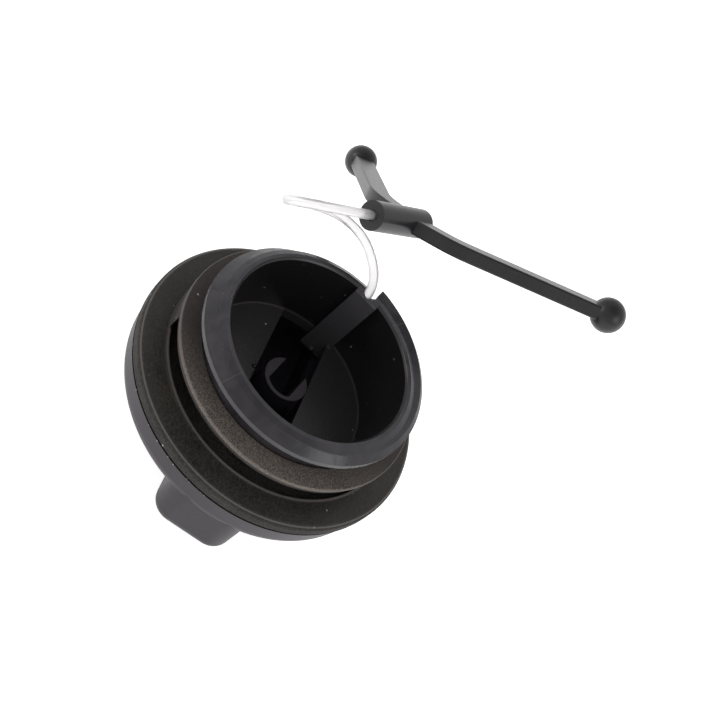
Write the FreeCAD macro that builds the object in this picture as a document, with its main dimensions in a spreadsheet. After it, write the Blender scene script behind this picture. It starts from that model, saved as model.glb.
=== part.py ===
"""Screw-in fuel cap with a corded retainer.

The cap lies on the flat bottom of its grip bar with its open mouth up. The origin is the centre
of that flat face, +Z is the cap's axis and +X runs along the grip bar. Lengths are millimetres.
"""
import FreeCAD, Part

import math
import os

import Sketcher

os.makedirs("parts", exist_ok=True)
doc = FreeCAD.newDocument("fuel_cap")
V = FreeCAD.Vector
UP = V(0, 0, 1)

# Driving dimensions
SIZES = {
    # Grip bar and outer cover
    "grip_length": 49.0,
    "grip_width": 14.0,
    "grip_rise": 7.0,
    "grip_corner": 3.6,
    "grip_edge": 2.2,
    "cover_height": 6.96,
    "cover_radius": 25.1,
    "cover_draft": 0.5,
    "cover_round": 3.2,
    "cover_wall": 2.2,
    "cover_land": 2.6,
    "parting_gap": 0.3,
    "parting_depth": 0.9,
    "trench_width": 9.5,
    "trench_wall": 2.4,
    "trench_corner": 2.5,
    # Flange, floor and collar of the threaded insert
    "flange_thick": 2.04,
    "flange_radius": 25.5,
    "flange_round": 0.8,
    "floor_thick": 2.0,
    "floor_drop": 1.3,
    "bore_draft": 0.5,
    "spigot_clear": 0.05,
    "collar_height": 5.1,
    # Neck and rim
    "seat_radius": 17.6,
    "shoulder_width": 3.6,
    "seat_height": 7.6,
    "groove_depth": 0.3,
    "groove_height": 8.3,
    "neck_step": 0.3,
    "rim_height": 12.15,
    "rim_outer_round": 0.9,
    "rim_outer_drop": 0.45,
    "rim_inner_round": 0.3,
    "neck_wall": 1.6,
    # Thread ridge: a flat underside, a narrow crest and a sloping top flank
    "thread_lead": 3.0,
    "thread_depth": 1.7,
    "thread_crest_width": 0.85,
    "thread_flank_rise": 1.9,
    "thread_root_sink": 0.5,
    "thread_start_height": 8.48,
    "thread_start_angle": 206.0,
    "thread_sweep": 321.0,
    # Side pockets of the collar
    "pocket_angle": -4.0,
    "pocket_end_wall": 1.0,
    "pocket_half_web": 3.0,
    "pocket_root_step": 0.2,
    "pocket_lip": 0.7,
    "pocket_sill": 0.9,
    "pocket_curb": 0.4,
    "pocket_depth": 1.2,
    # Wall rib that anchors the cord, and the notch over it
    "rib_angle": 166.5,
    "rib_width": 4.5,
    "rib_proud": 0.6,
    "rib_top_gap": 0.2,
    "rib_foot": 2.2,
    "anchor_inset": 0.4,
    "anchor_depth": 3.4,
    "notch_width": 2.2,
    "notch_depth": 1.9,
    # Post in the middle, slotted from the rib's side
    "post_radius": 3.9,
    "post_wall": 0.65,
    "post_above_front": 1.3,
    "post_slot": 4.5,
    "post_slot_depth": 8.0,
    # Gasket
    "gasket_width": 3.78,
    "gasket_thick": 0.83,
    "gasket_clear": 0.05,
    "gasket_edge": 0.15,
    # Cord and its bead
    "cord_dia": 1.6,
    "cord_clear": 0.1,
    "bead_dia": 3.0,
    "bead_length": 2.4,
    "bead_back": 1.4,
    "bead_clear": 0.1,
    # Retainer: its frame sits where the arms meet, with its own Z along the barrel
    "hub_across": -24.09,
    "hub_along": 1.33,
    "hub_height": 38.68,
    "hub_turn": 136.69,
    "hub_tilt": 105.53,
    "hub_roll": -121.82,
    "barrel_dia": 4.9,
    "barrel_back": 10.5,
    "barrel_front": 4.3,
    "barrel_round": 1.0,
    "arm_reach": 28.91,
    "arm_rise": 21.97,
    "arm_wide": 3.8,
    "arm_thick": 2.45,
    "arm_edge": 0.4,
    "elbow_reach": 8.7,
    "elbow_rise": 2.3,
    "elbow_run": 2.5,
    "ball_dia": 6.0,
}

sheet = doc.addObject("Spreadsheet::Sheet", "Sizes")
for row, (alias, number) in enumerate(SIZES.items(), start=1):
    sheet.set("A%d" % row, alias)
    sheet.set("B%d" % row, repr(number))
    sheet.setAlias("B%d" % row, alias)
doc.recompute()


class Dim:
    """A length or an angle that knows its value and how the sheet gives it."""

    def __init__(self, value, text):
        self.value = value
        self.text = text

    def __add__(self, other):
        other = dim(other)
        return Dim(self.value + other.value, "(%s + %s)" % (self.text, other.text))

    def __sub__(self, other):
        other = dim(other)
        return Dim(self.value - other.value, "(%s - %s)" % (self.text, other.text))

    def __neg__(self):
        return Dim(-self.value, "(0 - %s)" % self.text)

    def __truediv__(self, number):
        return Dim(self.value / number, "(%s / %s)" % (self.text, number))

    def __mul__(self, other):
        other = dim(other)
        return Dim(self.value * other.value, "(%s * %s)" % (self.text, other.text))


def dim(thing):
    """A Dim from a Dim or a plain number."""
    return thing if isinstance(thing, Dim) else Dim(float(thing), repr(thing))


class Sheet:
    """The sheet's sizes as attributes."""

    def __getattr__(self, name):
        return Dim(float(sheet.get(name)), "Sizes." + name)


S = Sheet()

# Levels above the grip's flat face
BACK = S.grip_rise
PART_LINE = BACK + S.cover_height
FRONT = PART_LINE + S.flange_thick
FLOOR = FRONT - S.floor_drop
UNDER_FLOOR = FLOOR - S.floor_thick
SHOULDER = FRONT + S.collar_height
RIM = FRONT + S.rim_height
RECESS_RADIUS = S.cover_radius - S.cover_land

# Radii that follow the gasket's seat
COLLAR_RADIUS = S.seat_radius + S.shoulder_width
GROOVE_RADIUS = S.seat_radius - S.groove_depth
NECK_RADIUS = S.seat_radius + S.neck_step
CREST_RADIUS = NECK_RADIUS + S.thread_depth
BORE_RADIUS = S.seat_radius - S.neck_wall
FLOOR_RADIUS = BORE_RADIUS - S.bore_draft
ANCHOR_RADIUS = BORE_RADIUS + S.anchor_inset


def bind(thing, path, size):
    """Tie a property to the sheet."""
    thing.setExpression(path, size.text)


def new_body(label):
    """An empty body with its label."""
    body = doc.addObject("PartDesign::Body", label)
    body.Label = label
    return body


def sketch_on(body, name, role, lift=None, turn=None):
    """A sketch on an origin plane, lifted along the plane's normal.

    On the XY plane the turn is about Z too. A sketch on another plane turns about its own
    upright, so that it stands at that angle around the cap's axis.
    """
    sketch = body.newObject("Sketcher::SketchObject", name)
    plane = [part for part in body.Origin.OriginFeatures if part.Role == role][0]
    sketch.AttachmentSupport = [(plane, "")]
    sketch.MapMode = "FlatFace"
    axis = UP if role == "XY_Plane" else V(0, 1, 0)
    angle = turn.value if turn else 0.0
    turning = FreeCAD.Rotation(axis, angle)
    raised = turning.multVec(UP) * (lift.value if lift else 0.0)
    sketch.AttachmentOffset = FreeCAD.Placement(raised, turning)
    if lift and role == "XY_Plane":
        bind(sketch, "AttachmentOffset.Base.z", lift)
    sketch.Visibility = False
    return sketch


def hold(sketch, kind, geometry, point, size):
    """Hold one coordinate of a point at a size."""
    held = sketch.addConstraint(Sketcher.Constraint(kind, -1, 1, geometry, point, size.value))
    bind(sketch, "Constraints[%d]" % held, size)


def outline(sketch, corners):
    """A closed outline whose corners are held by sizes. A None across lies on the axis."""
    ends = [V(0 if across is None else across.value, up.value, 0) for across, up in corners]
    count = len(corners)
    for index in range(count):
        sketch.addGeometry(Part.LineSegment(ends[index], ends[(index + 1) % count]), False)
    for index in range(count):
        sketch.addConstraint(Sketcher.Constraint("Coincident", index, 2, (index + 1) % count, 1))
    for index, (across, up) in enumerate(corners):
        if across is None:
            sketch.addConstraint(Sketcher.Constraint("PointOnObject", index, 1, -2))
        else:
            hold(sketch, "DistanceX", index, 1, across)
        hold(sketch, "DistanceY", index, 1, up)


def tangent_loop(sketch, pieces):
    """Join lines and arcs end to start, each tangent to the next."""
    for first, second in zip(pieces, pieces[1:] + pieces[:1]):
        sketch.addConstraint(Sketcher.Constraint("Tangent", first, 2, second, 1))


def corner_arc(sketch, across, up, radius, start):
    """A quarter turn about a corner's centre, counter-clockwise from a start angle."""
    ring = Part.Circle(V(across, up, 0), UP, radius)
    return sketch.addGeometry(Part.ArcOfCircle(ring, start, start + math.pi / 2), False)


def rounded_rectangle(sketch, half_across, half_up, corner):
    """A rectangle about the sketch's origin with rounded corners."""
    wide, high, radius = half_across.value, half_up.value, corner.value
    in_x, in_y = wide - radius, high - radius
    ends = [(V(-in_x, -high, 0), V(in_x, -high, 0)), (V(wide, -in_y, 0), V(wide, in_y, 0)),
            (V(in_x, high, 0), V(-in_x, high, 0)), (V(-wide, in_y, 0), V(-wide, -in_y, 0))]
    centres = [(in_x, -in_y), (in_x, in_y), (-in_x, in_y), (-in_x, -in_y)]
    loop = []
    for index, (start, end) in enumerate(ends):
        loop.append(sketch.addGeometry(Part.LineSegment(start, end), False))
        loop.append(corner_arc(sketch, *centres[index], radius, (index - 1) * math.pi / 2))
    tangent_loop(sketch, loop)
    bottom, right, top, left = loop[0::2]
    for line, place in ((bottom, -half_up), (top, half_up)):
        sketch.addConstraint(Sketcher.Constraint("Horizontal", line))
        hold(sketch, "DistanceY", line, 1, place)
    for line, place in ((right, half_across), (left, -half_across)):
        sketch.addConstraint(Sketcher.Constraint("Vertical", line))
        hold(sketch, "DistanceX", line, 1, place)
    for arc in loop[1::2]:
        held = sketch.addConstraint(Sketcher.Constraint("Radius", arc, radius))
        bind(sketch, "Constraints[%d]" % held, corner)


def u_shape(sketch, half_width, bottom, top):
    """An upright channel with a half-round bottom, centred on the sketch's upright."""
    wide, high = half_width.value, top.value
    low = bottom.value + wide
    ring = Part.Circle(V(0, low, 0), UP, wide)
    bowl = sketch.addGeometry(Part.ArcOfCircle(ring, math.pi, 2 * math.pi), False)
    right = sketch.addGeometry(Part.LineSegment(V(wide, low, 0), V(wide, high, 0)), False)
    lid = sketch.addGeometry(Part.LineSegment(V(wide, high, 0), V(-wide, high, 0)), False)
    left = sketch.addGeometry(Part.LineSegment(V(-wide, high, 0), V(-wide, low, 0)), False)
    sketch.addConstraint(Sketcher.Constraint("Tangent", bowl, 2, right, 1))
    sketch.addConstraint(Sketcher.Constraint("Coincident", right, 2, lid, 1))
    sketch.addConstraint(Sketcher.Constraint("Coincident", lid, 2, left, 1))
    sketch.addConstraint(Sketcher.Constraint("Tangent", left, 2, bowl, 1))
    sketch.addConstraint(Sketcher.Constraint("Vertical", right))
    sketch.addConstraint(Sketcher.Constraint("Horizontal", lid))
    sketch.addConstraint(Sketcher.Constraint("PointOnObject", bowl, 3, -2))
    hold(sketch, "DistanceX", right, 1, half_width)
    hold(sketch, "DistanceY", bowl, 3, bottom + half_width)
    hold(sketch, "DistanceY", lid, 1, top)


def circle(sketch, across, radius):
    """A circle whose centre lies on the sketch's X axis."""
    index = sketch.addGeometry(Part.Circle(V(across.value, 0, 0), UP, radius.value), False)
    sketch.addConstraint(Sketcher.Constraint("PointOnObject", index, 3, -1))
    hold(sketch, "DistanceX", index, 3, across)
    held = sketch.addConstraint(Sketcher.Constraint("Radius", index, radius.value))
    bind(sketch, "Constraints[%d]" % held, radius)


def arc_about_origin(sketch, radius, start, end):
    """An arc about the origin, counter-clockwise from one point to another."""
    angles = [math.atan2(point.y, point.x) for point in (start, end)]
    round_edge = Part.ArcOfCircle(Part.Circle(V(0, 0, 0), UP, radius.value), *angles)
    index = sketch.addGeometry(round_edge, False)
    sketch.addConstraint(Sketcher.Constraint("Coincident", index, 3, -1, 1))
    held = sketch.addConstraint(Sketcher.Constraint("Radius", index, radius.value))
    bind(sketch, "Constraints[%d]" % held, radius)
    return index


def rounded_slot(sketch, half_width, radius):
    """A straight slot whose ends are arcs about the origin."""
    up = half_width.value
    across = math.sqrt(radius.value ** 2 - up ** 2)
    corners = [V(across, -up, 0), V(across, up, 0), V(-across, up, 0), V(-across, -up, 0)]
    right = arc_about_origin(sketch, radius, corners[0], corners[1])
    top = sketch.addGeometry(Part.LineSegment(corners[1], corners[2]), False)
    left = arc_about_origin(sketch, radius, corners[2], corners[3])
    bottom = sketch.addGeometry(Part.LineSegment(corners[3], corners[0]), False)
    for first, second in ((right, top), (top, left), (left, bottom), (bottom, right)):
        sketch.addConstraint(Sketcher.Constraint("Coincident", first, 2, second, 1))
    for line, place in ((top, half_width), (bottom, -half_width)):
        sketch.addConstraint(Sketcher.Constraint("Horizontal", line))
        hold(sketch, "DistanceY", line, 1, place)


def open_slot(sketch, half_width, radius, far):
    """A slot from a far edge to an arc beyond the origin."""
    up = half_width.value
    across = math.sqrt(radius.value ** 2 - up ** 2)
    corners = [V(-across, -up, 0), V(far.value, -up, 0), V(far.value, up, 0), V(-across, up, 0)]
    loop = [sketch.addGeometry(Part.LineSegment(start, end), False)
            for start, end in zip(corners, corners[1:])]
    loop.append(arc_about_origin(sketch, radius, corners[3], corners[0]))
    for first, second in zip(loop, loop[1:] + loop[:1]):
        sketch.addConstraint(Sketcher.Constraint("Coincident", first, 2, second, 1))
    bottom, end, top = loop[:3]
    for line, place in ((bottom, -half_width), (top, half_width)):
        sketch.addConstraint(Sketcher.Constraint("Horizontal", line))
        hold(sketch, "DistanceY", line, 1, place)
    sketch.addConstraint(Sketcher.Constraint("Vertical", end))
    hold(sketch, "DistanceX", end, 1, far)


def ring_bite(sketch, inner, outer, half_length, half_web):
    """The part of a ring between two upright walls and beyond a web."""
    low_in = math.sqrt(inner.value ** 2 - half_web.value ** 2)
    high_out = math.sqrt(outer.value ** 2 - half_length.value ** 2)
    side, web = half_length.value, half_web.value
    corners = [V(low_in, web, 0), V(side, web, 0), V(side, high_out, 0),
               V(-side, high_out, 0), V(-side, web, 0), V(-low_in, web, 0)]
    first = sketch.addGeometry(Part.LineSegment(corners[0], corners[1]), False)
    right = sketch.addGeometry(Part.LineSegment(corners[1], corners[2]), False)
    far = arc_about_origin(sketch, outer, corners[2], corners[3])
    left = sketch.addGeometry(Part.LineSegment(corners[3], corners[4]), False)
    last = sketch.addGeometry(Part.LineSegment(corners[4], corners[5]), False)
    near_arc = arc_about_origin(sketch, inner, corners[0], corners[5])
    for one, other in ((first, right), (right, far), (far, left), (left, last)):
        sketch.addConstraint(Sketcher.Constraint("Coincident", one, 2, other, 1))
    sketch.addConstraint(Sketcher.Constraint("Coincident", last, 2, near_arc, 2))
    sketch.addConstraint(Sketcher.Constraint("Coincident", first, 1, near_arc, 1))
    for line in (first, last):
        sketch.addConstraint(Sketcher.Constraint("Horizontal", line))
        hold(sketch, "DistanceY", line, 1, half_web)
    for line, place in ((right, half_length), (left, -half_length)):
        sketch.addConstraint(Sketcher.Constraint("Vertical", line))
        hold(sketch, "DistanceX", line, 1, place)


def revolve(body, sketch, kind="Revolution"):
    """A full turn of the sketch about its upright axis."""
    turned = body.newObject("PartDesign::" + kind, sketch.Name + "_turned")
    turned.Profile = sketch
    turned.ReferenceAxis = (sketch, ["V_Axis"])
    turned.Angle = 360.0
    doc.recompute()
    return turned


def extrude(body, sketch, kind, length, backwards=False):
    """A Pad or a Pocket of the sketch. A Pocket cuts against the sketch's normal."""
    made = body.newObject("PartDesign::" + kind, sketch.Name + "_" + kind.lower())
    made.Profile = sketch
    made.Reversed = backwards
    bind(made, "Length", length)
    doc.recompute()
    before = made.BaseFeature.Shape.Volume if made.BaseFeature else 0.0
    print("%s changes the volume by %.1f" % (made.Name, made.Shape.Volume - before))
    return made


def round_edges(body, base, name, radius, test):
    """Round the edges whose middle point passes the test."""
    chosen = []
    for index, edge in enumerate(base.Shape.Edges, start=1):
        middle = edge.valueAt((edge.FirstParameter + edge.LastParameter) / 2)
        if test(middle):
            chosen.append("Edge%d" % index)
    rounded = body.newObject("PartDesign::Fillet", name)
    rounded.Base = (base, chosen)
    bind(rounded, "Radius", radius)
    doc.recompute()
    return rounded


def near(one, other):
    """Whether two lengths agree."""
    return abs(one - other) < 0.02


def make_cover():
    """Domed cover with the hollow grip bar on its back and the slotted post inside."""
    body = new_body("outer_cover")
    dome = sketch_on(body, "dome", "XZ_Plane")
    back_radius = S.cover_radius - S.cover_draft
    outline(dome, [
        (None, BACK),
        (back_radius, BACK),
        (S.cover_radius, PART_LINE - S.parting_gap),
        (S.cover_radius - S.parting_depth, PART_LINE - S.parting_gap),
        (S.cover_radius - S.parting_depth, PART_LINE),
        (None, PART_LINE),
    ])
    shell = revolve(body, dome)
    shell = round_edges(body, shell, "dome_round", S.cover_round,
                        lambda at: near(at.z, BACK.value)
                        and near(math.hypot(at.x, at.y), back_radius.value))

    bar = sketch_on(body, "bar", "XY_Plane")
    half_long, half_wide = S.grip_length / 2, S.grip_width / 2
    rounded_rectangle(bar, half_long, half_wide, S.grip_corner)
    pad = extrude(body, bar, "Pad", BACK + S.cover_round)
    round_edges(body, pad, "bar_edges", S.grip_edge, lambda at: near(at.z, 0.0))

    recess = sketch_on(body, "recess", "XZ_Plane")
    outline(recess, [
        (None, BACK + S.cover_wall),
        (RECESS_RADIUS, BACK + S.cover_wall),
        (RECESS_RADIUS, PART_LINE + S.cover_wall),
        (None, PART_LINE + S.cover_wall),
    ])
    revolve(body, recess, "Groove")

    trench = sketch_on(body, "trench", "XY_Plane", lift=BACK + S.cover_wall)
    hollow_long, hollow_wide = half_long - S.trench_wall, S.trench_width / 2
    rounded_rectangle(trench, hollow_long, hollow_wide, S.trench_corner)
    extrude(body, trench, "Pocket", BACK + S.cover_wall - S.trench_wall)

    stake = sketch_on(body, "post", "XZ_Plane")
    post_top = FRONT + S.post_above_front
    outline(stake, [
        (None, S.trench_wall / 2),
        (S.post_radius, S.trench_wall / 2),
        (S.post_radius, post_top),
        (None, post_top),
    ])
    revolve(body, stake)
    slit = sketch_on(body, "slit", "XY_Plane", lift=post_top, turn=S.rib_angle)
    open_slot(slit, S.post_slot / 2, S.post_radius - S.post_wall, S.post_radius + S.post_wall)
    extrude(body, slit, "Pocket", S.post_slot_depth)
    return body


def make_insert():
    """Threaded insert: flange, floor, collar, neck, thread and rim in one moulding."""
    body = new_body("threaded_insert")
    profile = sketch_on(body, "profile", "XZ_Plane")
    spigot_radius = RECESS_RADIUS - S.spigot_clear
    outline(profile, [
        (None, UNDER_FLOOR),
        (spigot_radius, UNDER_FLOOR),
        (spigot_radius, PART_LINE),
        (S.flange_radius, PART_LINE),
        (S.flange_radius, FRONT),
        (COLLAR_RADIUS, FRONT),
        (COLLAR_RADIUS, SHOULDER),
        (S.seat_radius, SHOULDER),
        (S.seat_radius, FRONT + S.seat_height),
        (GROOVE_RADIUS, FRONT + S.seat_height),
        (GROOVE_RADIUS, FRONT + S.groove_height),
        (NECK_RADIUS, FRONT + S.groove_height + S.thread_crest_width),
        (NECK_RADIUS, RIM),
        (BORE_RADIUS + S.rim_inner_round, RIM),
        (BORE_RADIUS, RIM - S.rim_inner_round),
        (FLOOR_RADIUS, FLOOR),
        (None, FLOOR),
    ])
    core = revolve(body, profile)
    core = round_edges(body, core, "flange_edge", S.flange_round,
                       lambda at: near(at.z, FRONT.value)
                       and near(math.hypot(at.x, at.y), S.flange_radius.value))

    tooth = sketch_on(body, "tooth", "XZ_Plane", turn=S.thread_start_angle)
    foot = FRONT + S.thread_start_height
    sunk = GROOVE_RADIUS - S.thread_root_sink
    outline(tooth, [
        (sunk, foot),
        (CREST_RADIUS, foot),
        (CREST_RADIUS, foot + S.thread_crest_width),
        (sunk, foot + S.thread_crest_width + S.thread_flank_rise),
    ])
    ridge = body.newObject("PartDesign::AdditiveHelix", "thread_ridge")
    ridge.Profile = tooth
    ridge.ReferenceAxis = (tooth, ["V_Axis"])
    ridge.Mode = "pitch-height-angle"
    bind(ridge, "Pitch", S.thread_lead)
    bind(ridge, "Height", S.thread_lead * S.thread_sweep / 360)
    doc.recompute()
    print("thread ridge adds %.1f" % (ridge.Shape.Volume - core.Shape.Volume))

    crown = sketch_on(body, "crown", "XZ_Plane")
    outside = CREST_RADIUS + S.rim_outer_round
    above = RIM + S.thread_flank_rise + S.thread_lead
    outline(crown, [
        (BORE_RADIUS, RIM),
        (NECK_RADIUS - S.rim_outer_round, RIM),
        (NECK_RADIUS, RIM - S.rim_outer_drop),
        (outside, RIM),
        (outside, above),
        (BORE_RADIUS, above),
    ])
    revolve(body, crown, "Groove")

    for name, outer, low, high in (
            ("pocket_mouth", COLLAR_RADIUS + S.pocket_curb, FRONT + S.pocket_sill, SHOULDER - S.pocket_lip),
            ("pocket_trough", COLLAR_RADIUS - S.pocket_curb, FRONT - S.pocket_depth, SHOULDER - S.pocket_lip)):
        for side in (90, -90):
            bite = sketch_on(body, "%s_%s" % (name, "near" if side > 0 else "far"), "XY_Plane",
                             lift=high, turn=S.pocket_angle - side)
            ring_bite(bite, S.seat_radius - S.pocket_root_step, outer,
                      COLLAR_RADIUS - S.pocket_end_wall, S.pocket_half_web)
            extrude(body, bite, "Pocket", high - low)

    slot = sketch_on(body, "floor_slot", "XY_Plane", lift=FLOOR)
    rounded_slot(slot, S.trench_width / 2, FLOOR_RADIUS)
    extrude(body, slot, "Pocket", S.floor_thick)

    foot = UNDER_FLOOR - S.rib_foot
    rib = sketch_on(body, "rib", "XY_Plane", lift=foot, turn=S.rib_angle)
    rib_face = FLOOR_RADIUS - S.rib_proud
    outline(rib, [
        (rib_face, -S.rib_width / 2),
        (ANCHOR_RADIUS, -S.rib_width / 2),
        (ANCHOR_RADIUS, S.rib_width / 2),
        (rib_face, S.rib_width / 2),
    ])
    extrude(body, rib, "Pad", RIM - S.rib_top_gap - foot)

    hole = sketch_on(body, "anchor_hole", "XY_Plane", lift=RIM, turn=S.rib_angle)
    circle(hole, ANCHOR_RADIUS, S.cord_dia / 2 + S.cord_clear)
    extrude(body, hole, "Pocket", S.anchor_depth)

    notch = sketch_on(body, "notch", "XZ_Plane", lift=ANCHOR_RADIUS, turn=S.rib_angle + 90)
    u_shape(notch, S.notch_width / 2, RIM - S.notch_depth, above)
    extrude(body, notch, "Pocket", outside - ANCHOR_RADIUS, backwards=True)
    return body


def make_gasket():
    """Flat rubber ring that lies on the collar's shoulder."""
    body = new_body("gasket")
    section = sketch_on(body, "ring", "XZ_Plane")
    inside, edge = S.seat_radius + S.gasket_clear, S.gasket_edge
    outside = inside + S.gasket_width
    top = SHOULDER + S.gasket_thick
    outline(section, [
        (inside, SHOULDER),
        (outside - edge, SHOULDER),
        (outside, SHOULDER + edge),
        (outside, top - edge),
        (outside - edge, top),
        (inside + edge, top),
        (inside, top - edge),
    ])
    revolve(body, section)
    return body


def hub_placement():
    """The retainer's own frame."""
    turning = (FreeCAD.Rotation(UP, S.hub_turn.value)
               * FreeCAD.Rotation(V(0, 1, 0), S.hub_tilt.value)
               * FreeCAD.Rotation(UP, S.hub_roll.value))
    return FreeCAD.Placement(
        V(S.hub_across.value, S.hub_along.value, S.hub_height.value), turning)


def shaped(label, shape, placement):
    """A piece that is shaped in its own frame and then placed."""
    piece = doc.addObject("Part::Feature", label)
    piece.Label = label
    piece.Shape = shape
    piece.Placement = placement
    return piece


def bend(before, corner, after, reach):
    """The arc that rounds a corner between two runs, with its two ends and its radius."""
    come, leave = corner - before, after - corner
    half_turn = come.getAngle(leave) / 2
    radius = reach / math.tan(half_turn)
    come.normalize()
    leave.normalize()
    start, end = corner - come * reach, corner + leave * reach
    inward = leave - come
    inward.normalize()
    middle = corner + inward * (radius / math.cos(half_turn) - radius)
    return start, end, Part.Arc(start, middle, end).toShape(), radius


def strip_section(wide, thick, corner):
    """A rounded rectangle across X and Y."""
    in_x, in_y = wide / 2 - corner, thick / 2 - corner
    arcs = []
    for index, (across, up) in enumerate(((1, -1), (1, 1), (-1, 1), (-1, -1))):
        angles = [math.radians(90 * (index - 1) + step) for step in (0, 45, 90)]
        arcs.append([V(across * in_x + corner * math.cos(angle), up * in_y + corner * math.sin(angle), 0)
                     for angle in angles])
    edges = []
    for one, other in zip(arcs, arcs[1:] + arcs[:1]):
        edges.append(Part.Arc(*one).toShape())
        edges.append(Part.LineSegment(one[2], other[0]).toShape())
    return Part.Wire(edges)


def make_arm(side):
    """A flat arm that leaves the barrel almost square, bends forward and ends in a ball."""
    root = V(0, 0, 0)
    elbow = V(side * S.elbow_reach.value, 0, S.elbow_rise.value)
    tip = V(side * S.arm_reach.value, 0, S.arm_rise.value)
    start, end, arc, radius = bend(root, elbow, tip, S.elbow_run.value)
    spine = Part.Wire([Part.LineSegment(root, start).toShape(), arc,
                       Part.LineSegment(end, tip).toShape()])
    section = strip_section(S.arm_wide.value, S.arm_thick.value, S.arm_edge.value)
    ahead = V(elbow).normalize()
    level = V(0, 1, 0)
    section.Placement = FreeCAD.Placement(root, FreeCAD.Rotation(level.cross(ahead), level, ahead))
    arm = spine.makePipeShell([section], True, False)
    print("arm volume %.1f, elbow radius %.1f" % (arm.Volume, radius))
    return arm.fuse(Part.makeSphere(S.ball_dia.value / 2, tip))


def make_retainer():
    """Barrel with a bore for the cord and two flat elbowed arms that end in balls."""
    back, front = -S.barrel_back.value, S.barrel_front.value
    solid = Part.makeCylinder(S.barrel_dia.value / 2, front - back, V(0, 0, back))
    solid = solid.makeFillet(S.barrel_round.value,
                             [edge for edge in solid.Edges if near(edge.BoundBox.ZMin, front)])
    for side in (1, -1):
        solid = solid.fuse(make_arm(side))
    bead_front = S.bead_length.value - S.bead_back.value
    clear = S.bead_clear.value
    chamber = Part.makeCylinder(S.bead_dia.value / 2 + clear, S.bead_length.value + 2 * clear,
                                V(0, 0, -S.bead_back.value - clear))
    bore = Part.makeCylinder(S.cord_dia.value / 2 + S.cord_clear.value, bead_front - back, V(0, 0, back))
    return shaped("retainer", solid.cut(chamber).cut(bore).removeSplitter(), hub_placement())


def make_bead():
    """The cord's thickened end inside the barrel."""
    bead = Part.makeCylinder(S.bead_dia.value / 2, S.bead_length.value, V(0, 0, -S.bead_back.value))
    bead = bead.makeFillet(S.bead_dia.value / 6, [edge for edge in bead.Edges
                                                  if isinstance(edge.Curve, Part.Circle)])
    return shaped("cord_bead", bead, hub_placement())


def cord_route():
    """The cord's route. Its ends follow the hole and the bead, the rest is laid by hand."""
    turn = math.radians(S.rib_angle.value)
    across, along = ANCHOR_RADIUS.value * math.cos(turn), ANCHOR_RADIUS.value * math.sin(turn)
    hub = hub_placement()
    return [
        V(across, along, (RIM - S.anchor_depth).value),
        V(across, along, RIM.value + 1.9),
        V(-19.6, -1.4, 33.6),
        V(-20.6, -7.2, 34.4),
        V(-18.6, -12.8, 34.4),
        V(-14.6, -17.2, 35.4),
        V(-10.8, -18.4, 38.8),
        V(-9.2, -15.6, 42.6),
        hub.multVec(V(0, 0, -S.barrel_back.value - 6.0)),
        hub.multVec(V(0, 0, -S.bead_back.value)),
    ]


def make_cord():
    """Round cord of straight runs joined by tangent arcs."""
    points = cord_route()
    edges = []
    start = points[0]
    radii = []
    for before, corner, after in zip(points, points[1:], points[2:]):
        reach = 0.45 * min((corner - before).Length, (after - corner).Length)
        arc_start, arc_end, arc, radius = bend(before, corner, after, reach)
        edges.append(Part.LineSegment(start, arc_start).toShape())
        edges.append(arc)
        radii.append(radius)
        start = arc_end
    edges.append(Part.LineSegment(start, points[-1]).toShape())
    path = Part.Wire(edges)
    section = Part.Wire(Part.makeCircle(S.cord_dia.value / 2, points[0], points[1] - points[0]))
    tube = path.makePipeShell([section], True, True)
    expected = math.pi * S.cord_dia.value ** 2 / 4 * path.Length
    print("cord radii", [round(radius, 1) for radius in radii])
    print("cord length %.1f, volume over section times length %.4f"
          % (path.Length, tube.Volume / expected))
    return shaped("tether_cord", tube, FreeCAD.Placement())


def check(pieces):
    """Stop if any object failed or any piece isn't a valid solid."""
    for thing in doc.Objects:
        if "Invalid" in thing.State or "Error" in thing.State:
            raise RuntimeError("%s failed: %s" % (thing.Name, thing.State))
    for piece in pieces:
        if piece.Shape.isNull() or not piece.Shape.isValid() or len(piece.Shape.Solids) != 1:
            raise RuntimeError("%s has no sound solid" % piece.Label)
        box = piece.Shape.BoundBox
        print("%s volume %.1f, z %.2f to %.2f" % (piece.Label, piece.Shape.Volume, box.ZMin, box.ZMax))


def main():
    """Build, check and write every piece."""
    pieces = [make_insert(), make_cover(), make_gasket(), make_retainer(), make_bead(), make_cord()]
    doc.recompute()
    check(pieces)
    for piece in pieces:
        piece.Shape.exportStep("parts/%s.step" % piece.Label)


main()
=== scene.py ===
# %% [markdown]
# # A fuel cap and its corded retainer
# The cap is two black mouldings with a rubber ring that seals against the tank. It lies on its grip
# bar with the open mouth up, and a thin white cord carries a slender two-armed retainer. The solids
# come from the construction model and are right as they are, so this script gives them their
# finishes and adds only what is too small for that model. Every length is in metres, in its frame.

# %% Load the fixed frame
import math

import bmesh
import bpy
from mathutils import Matrix, Vector


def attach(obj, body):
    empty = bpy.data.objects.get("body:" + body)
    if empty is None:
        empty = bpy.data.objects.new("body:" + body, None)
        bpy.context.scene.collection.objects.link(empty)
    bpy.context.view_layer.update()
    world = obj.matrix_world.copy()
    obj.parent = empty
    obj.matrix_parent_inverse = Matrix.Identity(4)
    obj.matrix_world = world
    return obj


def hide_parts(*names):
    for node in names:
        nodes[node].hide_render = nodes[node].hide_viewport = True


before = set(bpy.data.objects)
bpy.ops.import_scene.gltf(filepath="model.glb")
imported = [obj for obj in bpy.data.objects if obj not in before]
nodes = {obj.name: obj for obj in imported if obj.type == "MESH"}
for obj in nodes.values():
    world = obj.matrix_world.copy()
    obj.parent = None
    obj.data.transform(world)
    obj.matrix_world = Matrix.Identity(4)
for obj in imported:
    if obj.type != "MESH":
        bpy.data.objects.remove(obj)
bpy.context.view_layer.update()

MM = 0.001
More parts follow.
